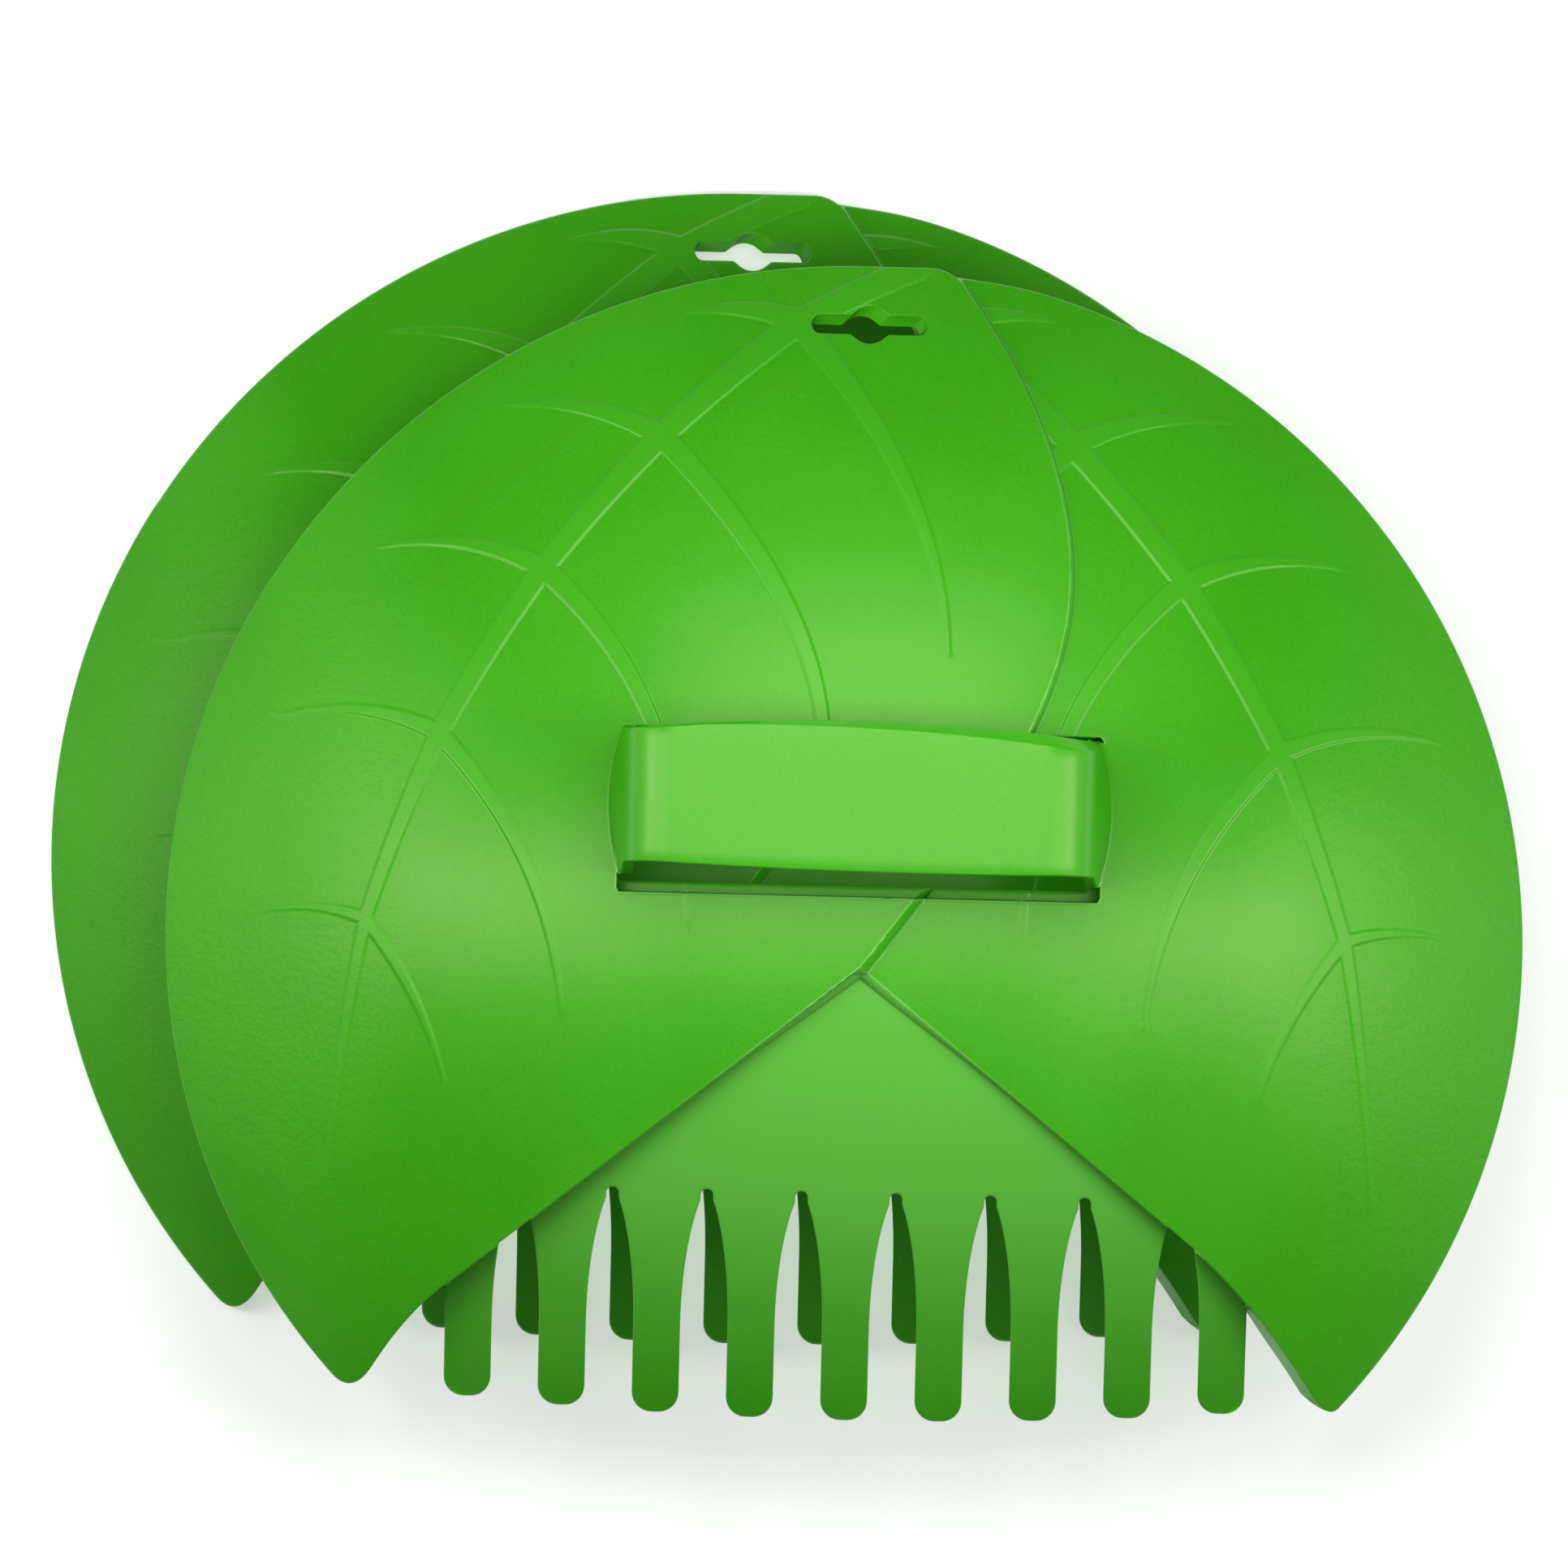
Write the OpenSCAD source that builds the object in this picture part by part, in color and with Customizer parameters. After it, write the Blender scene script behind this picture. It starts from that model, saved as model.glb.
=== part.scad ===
// A pair of one-piece leaf scoops (hand rakes), one stacked on the other.
// Each scoop is a shallow dome of two overlapping leaf lobes over a panel with
// nine tines, with a strap handle over a hand slot and a hang slot at the rim.
// In plan, +Y points from the tines to the hang slot, and +Z is up.
// A scoop's own origin is the axis of its dome, on the plane that it rests on.

/* [Dome] */
// Radius of the right lobe's outside
dome_r = 315; // [312:0.5:318]
// Height of the right lobe's outside over the resting plane, on the dome's axis
dome_h = 61; // [60:0.25:62]
// Thickness of the moulded wall
wall = 3; // [2.6:0.1:3.2]
// Step from the right lobe up to the left one, and down to the tine panel
step_h = 2.5; // [2:0.1:2.7]

/* [Outline] */
// Radius of the left lobe's outline on its lower side
left_low_r = 180; // [179:0.5:181]
// Radius of the left lobe's outline on its upper side
left_up_r = 186; // [185:0.5:187]
// Radius of the right lobe's outline
right_r = 185.5; // [185:0.5:187]
// Angle in plan between a lobe's lower edge and the X axis
edge_angle = 38.8; // [38.4:0.2:39.2]

/* [Tines] */
// Number of tines
tine_count = 9; // [7:2:9]
// Distance from tine to tine
tine_pitch = 25.7; // [25.3:0.1:26]
// Width of a tine at its tip
tine_w = 12.8; // [12:0.2:14]
// Distance from the dome's axis to the middle tine's tip
tine_tip_y = 130.3; // [128:0.5:132]
// Distance from the dome's axis to the tops of the gaps between tines
gap_top_y = 68; // [66:0.5:70]
// Radius of the tine panel along the tines, which curls more than the lobes do
curl_r = 235; // [233:1:240]

/* [Handle] */
// Length of the hand slot
slot_l = 131.2; // [130:0.2:132]
// Width of the hand slot
slot_w = 44.9; // [44:0.1:46]
// Distance from the dome's axis to the middle of the hand slot
slot_y = 34.7; // [34:0.1:35.4]
// Height of the strap's top over the resting plane
strap_h = 90; // [88:0.5:90.5]
// Thickness of the strap
strap_t = 3.5; // [3:0.1:4]
// Width of the strap in its middle
strap_w = 41.5; // [39:0.1:43]
// Radius of the strap's outer corners
strap_corner_r = 12; // [10:0.5:13]
// Lean of the strap's legs from upright
leg_lean = 10; // [8:0.5:12]

/* [Hang slot] */
// Length of the hang slot
hang_l = 32; // [31:0.5:33]
// Height of the hang slot's wings
hang_wing_w = 5.2; // [4.8:0.1:6]
// Diameter of the hang slot's middle circle
hang_d = 10.4; // [10:0.1:11]
// Distance from the dome's axis to the hang slot
hang_y = 168.2; // [167:0.1:169]

/* [Veins] */
// Height of the veins over the lobes
vein_h = 0.45; // [0.3:0.05:0.6]

/* [Stack] */
// Offset of the front scoop to +X
stack_x = 32.4; // [31:0.2:34]
// Offset of the front scoop to -Y
stack_y = 19.6; // [19:0.2:21]
// Rise of the front scoop over the rear one, which clears the rear strap
stack_z = 52.5; // [52.5:0.5:56]

/* [Hidden] */
$fn = 96;
leaf_green = [0.28, 0.69, 0.15];

// Beyond every outline
far = 260;

// Centres of the three outline arcs; the left lobe's two arcs meet at left_join_y
left_low_c = [-8, 1.5];
left_up_c = [-2.8, -1.8];
right_c = [-3.35, -0.5];
left_join_y = 95;

// Where the lap starts at the rim, where it bulges most, and where it ends
lap_top = [22.5, 182.7];
lap_side = [56.2, 100];
v_apex = [1.6, -6.7];

// A lobe's lower edge is straight to edge_bend, then turns down to its tip; each left, then right
edge_bend = [110, 93.5];
edge_knee = [122.5, 113];
tip_corner = [[-133.5, -127.1], [132.2, -128.2]];
tip_cut = 10;
tip_angles = [223.2, -41.5];

// The tines' tips lie on a shallow curve, and their gaps open with depth
tip_sag = 4;
gap_rise = 38;
gap_top_r = 1.7;
gap_tip_half = (tine_pitch - tine_w) / 2;

// The slot and strap sit a little beside the dome's axis, the strap to +Y of the slot
slot_x = 0.5;
strap_shift = 4.3;
strap_flat_half = 53;
strap_side_r = 600;

dome_c_z = dome_h - dome_r;
panel_top = dome_h - step_h;

// Points along curves
function quad(a, b, c, t) = (1 - t) * (1 - t) * a + 2 * t * (1 - t) * b + t * t * c;
function quad_arc(a, b, c, n) = [for (i = [0:n]) quad(a, b, c, i / n)];
function cubic(a, b, c, d, t) = (1 - t) * quad(a, b, c, t) + t * quad(b, c, d, t);
function cubic_arc(a, b, c, d, n, first = 0) = [for (i = [first:n]) cubic(a, b, c, d, i / n)];
function arc(c, r, a0, a1, n) =
    [for (i = [0:n]) let (a = a0 + (a1 - a0) * i / n) c + r * [cos(a), sin(a)]];
function flip(p) = [for (i = [len(p) - 1:-1:0]) p[i]];
function mirrored(p) = [for (q = p) [-q[0], q[1]]];
function unit(v) = v / norm(v);
function left_of(v) = [-v[1], v[0]];
function shifted(p, d) =
    [for (i = [0:len(p) - 1])
        p[i] + d * left_of(unit(p[min(i + 1, len(p) - 1)] - p[max(i - 1, 0)]))];

// The lap, where the left lobe ends on the right one, from the rim to the V's apex
lap = concat(
    cubic_arc(lap_top, [40, 161], [56.2, 130], lap_side, 7),
    cubic_arc(lap_side, [56.5, 64], [33, 35], v_apex, 7, 1));

// A lobe's lower edge from the V's apex to a sharp corner; side is -1 on the left
function edge_point(side, x) = [side * x, v_apex[1] - (x - side * v_apex[0]) * tan(edge_angle)];
function of(side, pair) = pair[side < 0 ? 0 : 1];
function corner(side) = of(side, tip_corner);
function bend(side) = edge_point(side, of(side, edge_bend));
function knee(side) = edge_point(side, of(side, edge_knee));
function lobe_edge(side) = concat([v_apex], quad_arc(bend(side), knee(side), corner(side), 6));

// The same edge with its last points replaced by the lobe's rounded tip
function rounded_edge(side) =
    let (edge = lobe_edge(side),
         back = corner(side) + tip_cut * unit(knee(side) - corner(side)),
         a = of(side, tip_angles),
         c = of(side, [left_low_c, right_c]),
         past_rim = c + (of(side, [left_low_r, right_r]) + 0.3) * [cos(a), sin(a)])
    concat([for (i = [0:len(edge) - 3]) edge[i]], quad_arc(back, corner(side), past_rim, 5));

// Plan shapes of the two lobes; the right one runs on under the lap by one wall
module left_plan() {
    intersection() {
        union() {
            intersection() {
                translate(left_low_c)
                    circle(r = left_low_r);
                translate([-far, left_join_y - 2 * far])
                    square([far + 60, 2 * far]);
            }
            intersection() {
                translate(left_up_c)
                    circle(r = left_up_r);
                translate([-far, left_join_y])
                    square([far + 60, far]);
            }
        }
        polygon(concat(flip(rounded_edge(-1)), flip(lap), [[lap_top[0], far], [-far, far], [-far, -far]]));
    }
}
module right_plan() {
    lap_in = shifted(lap, -wall);
    under_lap = [for (i = [1:len(lap) - 1]) lap_in[i]];
    intersection() {
        translate(right_c)
            circle(r = right_r);
        polygon(concat([[far, -far], [far, far], [lap_top[0], far], lap_top], under_lap, rounded_edge(1)));
    }
}

// Plan shapes of the walls under the lobes' lower edges
module left_edge_plan() {
    intersection() {
        polygon(concat(lobe_edge(-1), flip(shifted(lobe_edge(-1), -wall))));
        left_plan();
    }
}
module right_edge_plan() {
    start = v_apex - wall * [cos(edge_angle), -sin(edge_angle)];
    line = concat([start], lobe_edge(1));
    intersection() {
        polygon(concat(line, flip(shifted(line, wall))));
        right_plan();
    }
}

// The plan shape of one gap between two tines, with its pointed top
function gap_half(d) = gap_tip_half * sin(90 * pow(min(d / gap_rise, 1), 0.7));
module gap_plan() {
    depths = [gap_top_r, 5, 9, 14, 20, 28, gap_rise, 90];
    side = [for (d = depths) [gap_half(d), -gap_top_y - d]];
    polygon(concat(side, flip(mirrored(side))));
    translate([0, -gap_top_y - gap_top_r])
        circle(r = gap_top_r);
}

// The plan shape of one tine, from its rounded tip up into the panel
module tine_plan(tip_y) {
    tip_r = tine_w * 0.42;
    rise = 40;
    translate([-tine_w / 2, tip_y + tip_r])
        square([tine_w, rise]);
    translate([-tine_w / 2 + tip_r, tip_y])
        square([tine_w - 2 * tip_r, rise]);
    for (side = [-1, 1])
        translate([side * (tine_w / 2 - tip_r), tip_y + tip_r])
            circle(r = tip_r);
}

// The plan shape of the tine panel, which runs on under the edge walls
module panel_plan() {
    half = tine_pitch * (tine_count - 1) / 2 + tine_w / 2;
    drop = half * tan(edge_angle);
    top = v_apex + [0, (wall - 0.4) / cos(edge_angle)];
    foot_y = -105;
    difference() {
        union() {
            polygon([top, top - [half, drop], [-half, foot_y], [half, foot_y], top + [half, -drop]]);
            for (i = [0:tine_count - 1]) {
                n = i - (tine_count - 1) / 2;
                translate([n * tine_pitch, 0])
                    tine_plan(-tine_tip_y + tip_sag * pow(n / 4, 2));
            }
        }
        for (i = [0:tine_count - 2])
            translate([(i - tine_count / 2 + 1) * tine_pitch, 0])
                gap_plan();
    }
}

// Solids that the walls are cut from
module upright(h = 120) {
    linear_extrude(height = h)
        children();
}
module dome_ball(grow) {
    translate([0, 0, dome_c_z])
        rotate([90, 0, 0])
            sphere(r = dome_r + grow);
}
module panel_barrel(grow) {
    translate([0, 0, panel_top - curl_r])
        rotate([0, 90, 0])
            rotate_extrude()
                intersection() {
                    translate([curl_r - dome_r, 0])
                        circle(r = dome_r + grow);
                    translate([0, -far])
                        square([far, 2 * far]);
                }
}

// Walls of even thickness over a plan shape, with their outside grown by a height
module lobe_shell(grow) {
    intersection() {
        upright()
            children();
        difference() {
            dome_ball(grow);
            dome_ball(grow - wall);
        }
    }
}
module panel_shell() {
    intersection() {
        upright()
            panel_plan();
        difference() {
            panel_barrel(0);
            panel_barrel(-wall);
        }
    }
}

// The wall that stands under a lobe's lower edge and joins it to the tine panel
module edge_wall(grow) {
    intersection() {
        upright()
            children();
        difference() {
            dome_ball(grow - wall / 2);
            panel_barrel(-wall / 2);
        }
    }
}

// Raised leaf veins: a midrib through seven points, five of them with two branches.
// They are laid out for the right lobe, and mirrored for the left one.
midrib = [[-13.6, 184.5], [19.4, 168.4], [56, 136.7], [87.3, 99.9], [114.5, 54.3],
    [133.4, 3.2], [142.3, -66.8]];
midrib_w = [6.8, 6.8, 6.4, 5.8, 5, 3.6, 1.4];
midrib_bow = 0.03;
outer_branch = [[[33, 174], [50.6, 170.3]], [[76, 147], [99.5, 143.8]],
    [[108, 110], [131.5, 104.5]], [[135, 64], [158, 58]], [[146, 8], [161, 4.5]]];
outer_tip_w = 0.6;
inner_branch = [[[-21, 124], [-23.5, 79.4]], [[14, 95], [10.1, 58]], [[47, 66], [45.4, 4.3]],
    [[83.6, 22.8], [79.2, -20.9]], [[118.3, -15.2], [111, -39.5]]];
inner_tip_w = [1.2, 3.6, 1.8, 1.2, 1];

// A tapered ribbon along a curve from a to c
module ribbon(a, b, c, w0, w1) {
    n = 8;
    line = quad_arc(a, b, c, n);
    half = [for (i = [0:n]) (w0 + (w1 - w0) * i / n) / 2];
    dirs = [for (i = [0:n]) unit(line[min(i + 1, n)] - line[max(i - 1, 0)])];
    polygon(concat(
        [for (i = [0:n]) line[i] + half[i] * left_of(dirs[i])],
        [for (i = [n:-1:0]) line[i] - half[i] * left_of(dirs[i])]));
}
module veins_plan() {
    for (i = [0:len(midrib) - 2]) {
        a = midrib[i];
        b = midrib[i + 1];
        ribbon(a, (a + b) / 2 + midrib_bow * left_of(b - a), b, midrib_w[i], midrib_w[i + 1]);
    }
    for (i = [0:len(outer_branch) - 1]) {
        a = midrib[i + 1];
        w = midrib_w[i + 1];
        ribbon(a, outer_branch[i][0], outer_branch[i][1], w, outer_tip_w);
        ribbon(a, inner_branch[i][0], inner_branch[i][1], w, inner_tip_w[i]);
    }
}
module vein_layer(grow) {
    root = 1;
    intersection() {
        upright()
            children();
        difference() {
            dome_ball(grow + vein_h);
            dome_ball(grow - root);
        }
    }
}
module left_veins() {
    vein_layer(step_h)
        intersection() {
            mirror([1, 0])
                veins_plan();
            left_plan();
        }
}
module right_veins() {
    vein_layer(0)
        difference() {
            intersection() {
                veins_plan();
                right_plan();
            }
            left_plan();
        }
}

// The strap handle over the hand slot
module strap_profile() {
    centre = [strap_flat_half, strap_h - strap_corner_r];
    foot_z = 40;
    n = 8;
    outer = arc(centre, strap_corner_r, 90, leg_lean, n);
    inner = arc(centre, strap_corner_r - strap_t, 90, leg_lean, n);
    function foot(p) = p + (p[1] - foot_z) * [tan(leg_lean), -1];
    side = concat(outer, [foot(outer[n]), foot(inner[n])], flip(inner));
    polygon(concat(side, flip(mirrored(side))));
}
module strap() {
    y = slot_y + strap_shift;
    difference() {
        intersection() {
            translate([slot_x, y + strap_w, 0])
                rotate([90, 0, 0])
                    linear_extrude(height = 2 * strap_w)
                        strap_profile();
            translate([slot_x, y, 0])
                upright()
                    intersection() {
                        translate([0, strap_side_r - strap_w / 2])
                            circle(r = strap_side_r);
                        translate([0, strap_w / 2 - strap_side_r])
                            circle(r = strap_side_r);
                    }
        }
        dome_ball(-0.4);
    }
}

// Openings
module hand_slot() {
    translate([slot_x - slot_l / 2, slot_y - slot_w / 2, 0])
        upright(strap_h)
            square([slot_l, slot_w]);
}
module hang_slot() {
    tilt = asin(hang_y / dome_r);
    wing_half = (hang_l - hang_wing_w) / 2;
    depth = 20;
    translate([0, 0, dome_c_z])
        rotate([-tilt, 0, 0])
            translate([0, 0, dome_r - depth / 2])
                linear_extrude(height = depth) {
                    circle(d = hang_d);
                    square([2 * wing_half, hang_wing_w], center = true);
                    for (side = [-1, 1])
                        translate([side * wing_half, 0])
                            circle(d = hang_wing_w);
                }
}

// One whole scoop, a single moulding
module scoop() {
    difference() {
        union() {
            panel_shell();
            lobe_shell(0)
                right_plan();
            lobe_shell(step_h)
                left_plan();
            edge_wall(0)
                right_edge_plan();
            edge_wall(step_h)
                left_edge_plan();
            left_veins();
            right_veins();
        }
        hand_slot();
        hang_slot();
    }
    strap();
}

// The pair, with the origin under the middle of both
pair_low = [left_low_c[0] - left_low_r, -tine_tip_y - stack_y];
pair_high = [right_c[0] + right_r + stack_x, left_up_c[1] + left_up_r];
pair_mid = (pair_low + pair_high) / 2;
module rear_scoop() {
    color(leaf_green)
        translate([-pair_mid[0], -pair_mid[1], 0])
            scoop();
}
module front_scoop() {
    color(leaf_green)
        translate([stack_x - pair_mid[0], -stack_y - pair_mid[1], stack_z])
            scoop();
}

rear_scoop();
front_scoop();
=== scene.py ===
"""Looks of a stacked pair of one-piece leaf scoops (hand rakes).

A scoop is built in its own frame, in millimetres: +Y from the tines to the hang slot, +Z up, the
origin on the dome's axis at the resting plane. Its plan is triangulated along its own edges, lap,
veins and openings, lifted to the outside and the inside of the wall, and fused with its strap.
Each scoop is then placed by the box of its CAD node.
"""
import math

import bpy
import numpy as np
from mathutils import Euler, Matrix, Vector, geometry, kdtree

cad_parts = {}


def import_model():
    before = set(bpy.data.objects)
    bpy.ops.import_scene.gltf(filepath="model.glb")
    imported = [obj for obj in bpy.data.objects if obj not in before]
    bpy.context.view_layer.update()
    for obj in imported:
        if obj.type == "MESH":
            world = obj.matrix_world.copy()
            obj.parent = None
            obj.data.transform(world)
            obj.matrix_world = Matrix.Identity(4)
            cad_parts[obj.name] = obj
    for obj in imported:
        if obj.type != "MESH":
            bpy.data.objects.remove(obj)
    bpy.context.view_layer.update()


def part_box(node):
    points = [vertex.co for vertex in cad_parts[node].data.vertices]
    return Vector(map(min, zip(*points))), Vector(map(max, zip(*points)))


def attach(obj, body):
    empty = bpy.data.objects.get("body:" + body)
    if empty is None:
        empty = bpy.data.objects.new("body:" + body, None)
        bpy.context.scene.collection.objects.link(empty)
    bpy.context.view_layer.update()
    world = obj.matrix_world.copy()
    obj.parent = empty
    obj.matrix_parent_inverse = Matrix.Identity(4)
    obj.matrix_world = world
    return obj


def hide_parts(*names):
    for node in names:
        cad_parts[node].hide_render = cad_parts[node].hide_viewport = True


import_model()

MM = 0.001

# Dome and wall
DOME_R = 315.0
DOME_H = 61.0
WALL = 3.0
STEP_H = 2.5
CURL_R = 235.0
DOME_Z = DOME_H - DOME_R
PANEL_TOP = DOME_H - STEP_H

# Outline
LEFT_LOW_C, LEFT_LOW_R = np.array([-8.0, 1.5]), 180.0
LEFT_UP_C, LEFT_UP_R = np.array([-2.8, -1.8]), 186.0
RIGHT_C, RIGHT_R = np.array([-3.35, -0.5]), 185.5
LEFT_JOIN_Y = 95.0
LEFT_TOP_X = (16.5, 21.6)
LAP_CUT = np.array([25.3, 179.6])
RIGHT_START = 82.5
RIGHT_DIP = 1.2
RIGHT_DIP_W = 16.0
UNDERLAP = 6.0
TIP_CORNER = {-1: np.array([-133.5, -127.1]), 1: np.array([132.2, -128.2])}
TIP_CUT = 10.0
TIP_ANGLES = {-1: 223.2, 1: -41.5}

# Lap and V
CREASE = 0.25
LAP_TOP = np.array([22.5, 182.7])
LAP_UPPER = ((40, 161), (56.2, 130))
LAP_SIDE = np.array([56.2, 100.0])
LAP_LOWER = ((56.5, 64), (33, 35))
V_APEX = np.array([1.6, -6.7])
EDGE_SLOPE = math.tan(math.radians(38.8))
EDGE_BEND = {-1: 110.0, 1: 93.5}
EDGE_KNEE = {-1: 122.5, 1: 113.0}

# Tines
TINES = 9
PITCH = 25.7
TINE_W = 12.8
TIP_Y = -130.3
TIP_SAG = 4.0
GAP_TOP_Y = -68.0
GAP_RISE = 38.0
GAP_POWER = 0.7
GAP_TOP_R = 1.7
TINE_ROUND = 0.42
PANEL_SIDE_Y = -85.0

# Hand slot and the ledge inside its -Y and +X edges
SLOT_C = np.array([0.5, 34.7])
SLOT_L = 131.2
SLOT_W = 44.9
SLOT_CORNER = 1.3
LEDGE_LOW = 3.0
LEDGE_RIGHT = 3.3
LEDGE_DROP = 7.0
LEDGE_INSET = 1.5

# Hang slot
HANG_Y = 168.2
HANG_L = 32.0
HANG_WING = 5.2
HANG_D = 10.4
HANG_SHIFT = np.array([-2.4, -2.8])
HANG_REACH = 8.0
HANG_BLEND = 1.4

# Strap: its size, the lines of its two edges, the slope of its +Y edge, and its feet
STRAP_H = 90.0
STRAP_T = 3.5
STRAP_FLAT = 49.3
STRAP_CORNER = 15.2
STRAP_HALF = 60.0
STRAP_LOW_Y = -15.5
STRAP_LOW_BOW = 1.0
STRAP_LOW_TILT = 0.7
STRAP_LOW_FALL = {-1: 4.0, 1: 3.2}
STRAP_HIGH_Y = 25.6
STRAP_HIGH_BOW = 3.2
STRAP_HIGH_TILT = 0.4
STRAP_HIGH_RISE = 0.6
STRAP_BEVEL_X = [-40.0, 0.0, 60.0]
STRAP_BEVEL = [0.5, 1.6, 2.9]
STRAP_FOOT_OUT = 0.2
STRAP_FOOT_BULGE = 3.4
FOOT_FILLET = 1.1
STRAP_EDGE_R = 0.7
STRAP_CROWN = 0.6
STRAP_BEND = 86.0

# The inside of the right lobe's lower edge is set out by the flare, from an x on and near the edge only
FLARE_FROM = 98.0
FLARE_LENGTH = 20.0
FLARE_REACH = 8.0
FLARE = np.array([-1.9, -1.1])

# Edge rounding
RIM_R = 0.45
INNER_RIM_R = 0.4
RIM_FAR = 3.0
EDGE_NUDGE = 0.04
LEAST_TOP = 0.5
LEAST_WALL = 0.3

# Spacing of the points on inner lines, on outlines and between the lines
LINE_STEP = 1.6
RIM_STEP = 2.0
FILL_STEP = 3.4

# Where the triangles' lines lie: on a rolled step from its edge to its foot, beside it on the
# outside and on the inside, around the hand slot, inside the boundary, and beside a vein's edge
ROLL = (0.0, 0.15, 0.35, 0.55, 0.75, 0.9, 1.0)
BESIDE_LAP = (0.25, 0.5, 0.9)
ABOVE_V = (0.25, 0.5, 0.9, 1.6)
BELOW_V = (0.25, 0.5, 1.1)
INSIDE_LAP = (-0.6, 0.0, 0.5, 1.0, 1.7)
INSIDE_V = (-0.6, 0.0, 0.5, 1.2)
AROUND_SLOT = (1.5, 0.9, 0.5, 0.2, 0.0, -0.3, -0.5, -0.8)
INSIDE_BOUNDARY = (0.0, 0.06, 0.2, 0.45, 1.0)
BESIDE_VEIN = (-0.9, -0.5, 0.0, 0.5, 0.95)

# Width of the painted highlights on the sharp edges, and where the tine panel's painted sheen starts and is
# full
HIGHLIGHT_W = 0.24
PANEL_SHEEN_FADE = (-130.0, -65.0)

# Veins, laid out for the right lobe and mirrored for the left one
VEIN_H = 0.45
VEIN_RAMP = 0.7
VEIN_FULL = 1.6
VEIN_LEAST = 0.6
VEIN_LEAST_RAIL = 0.05
MIDRIB = np.array([[-13.6, 184.5], [19.4, 168.4], [56, 136.7], [87.3, 99.9], [114.5, 54.3],
                   [133.4, 3.2], [142.3, -66.8]])
MIDRIB_W = [6.8, 6.8, 6.4, 5.8, 5.0, 3.6, 1.4]
MIDRIB_BOW = 0.03
OUTER = [((33, 174), (50.6, 170.3)), ((76, 147), (99.5, 143.8)), ((108, 110), (131.5, 104.5)),
         ((135, 64), (158, 58)), ((146, 8), (161, 4.5))]
OUTER_TIP_W = 0.6
INNER = [((-21, 124), (-23.5, 79.4), 1.2), ((14, 95), (10.1, 58), 3.6), ((47, 66), (45.4, 4.3), 1.8),
         ((83.6, 22.8), (79.2, -20.9), 1.2), ((118.3, -15.2), (111, -39.5), 1.0)]

# Plastic: its colours, with painted sheen on the veins and the panel, painted highlights on sharp edges and
# painted shade in the depths;
# how much of a vein's painted sheen or an edge's painted highlight shows, and where the grain starts and is
# full, in metres from the middle
GREEN = (0.046, 0.400, 0.006)
LIGHT_GREEN = (0.060, 0.455, 0.010)
# Painted sheen: the paler green painted on the veins in place of their gloss
VEIN_SHEEN_GREEN = (0.075, 0.500, 0.020)
# Painted sheen: the paler green painted on the tine panel in place of its satin sheen
PANEL_SHEEN_GREEN = (0.125, 0.53, 0.056)
# Painted highlight: the pale green painted along sharp edges in place of their glint
HIGHLIGHT_GREEN = (0.30, 0.80, 0.20)
# Painted shade: the dark green that the plastic is painted where it is covered from the light
PAINTED_SHADE_GREEN = (0.001, 0.10, 0.0005)
GLOSS_TINT = (1.0, 1.0, 0.62, 1.0)
VEIN_SHEEN_SHARE = 0.3
HIGHLIGHT_SHARE = 0.8
GRAIN_ZONE = (0.105, 0.165)

# Scales of the plastic's noises, per metre, and depths of its bumps, in metres
BLOTCH_SCALE = 14.0
WAVE_SCALE = 22.0
GRAIN_SCALE = 620.0
SPECK_SCALE = 900.0
FINE_SCALE = 1900.0
WAVE_DEPTH = 0.0012
GRAIN_DEPTH = 0.00012

# How far the plastic looks around itself for cover, in metres, and which cover gives it full painted shade
# and which none; the same cover dims its gloss
OPEN_REACH = 0.08
OPEN_RANGE = (0.03, 0.34)

# Edges sharper than this stay sharp in the shading, in degrees
SHARP_ANGLE = 38.0


# ---------------------------------------------------------------- curves in plan
def quad(a, b, c, n=24):
    t = np.linspace(0, 1, n + 1)[:, None]
    a, b, c = (np.array(p, float) for p in (a, b, c))
    return (1 - t) ** 2 * a + 2 * t * (1 - t) * b + t * t * c


def cubic(a, b, c, d, n=60):
    t = np.linspace(0, 1, n + 1)[:, None]
    a, b, c, d = (np.array(p, float) for p in (a, b, c, d))
    return (1 - t) ** 3 * a + 3 * t * (1 - t) ** 2 * b + 3 * t * t * (1 - t) * c + t ** 3 * d


def arc(centre, r, start, end, n=90):
    a = np.radians(np.linspace(start, end, n + 1))[:, None]
    return np.array(centre) + r * np.hstack([np.cos(a), np.sin(a)])


def chain(*paths):
    """The paths end to end, without the points that repeat."""
    p = np.vstack(paths)
    keep = np.ones(len(p), bool)
    keep[1:] = np.linalg.norm(np.diff(p, axis=0), axis=1) > 1e-4
    return p[keep]


def even(path, step):
    """The path with points at even distances, which keeps its ends."""
    length = np.concatenate([[0], np.cumsum(np.linalg.norm(np.diff(path, axis=0), axis=1))])
    at = np.linspace(0, length[-1], max(2, int(round(length[-1] / step)) + 1))
    return np.column_stack([np.interp(at, length, path[:, i]) for i in (0, 1)])


def left_normals(path, closed=False):
    if closed:
        d = np.roll(path, -1, axis=0) - np.roll(path, 1, axis=0)
    else:
        d = np.gradient(path, axis=0)
    d /= np.linalg.norm(d, axis=1)[:, None]
    return np.column_stack([-d[:, 1], d[:, 0]])


def shifted(path, d, closed=False):
    """The path moved to its left by d, one number or one per point."""
    return path + np.reshape(d, (-1, 1)) * left_normals(path, closed)


def smooth(t):
    t = np.clip(t, 0, 1)
    return t * t * (3 - 2 * t)


def closed_line(loop):
    return np.vstack([loop, loop[:1]])


# ---------------------------------------------------------------- tests on points
def in_chunks(function, points, *args, size=4000):
    parts = [function(points[i:i + size], *args) for i in range(0, len(points), size)]
    return np.concatenate(parts)


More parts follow.
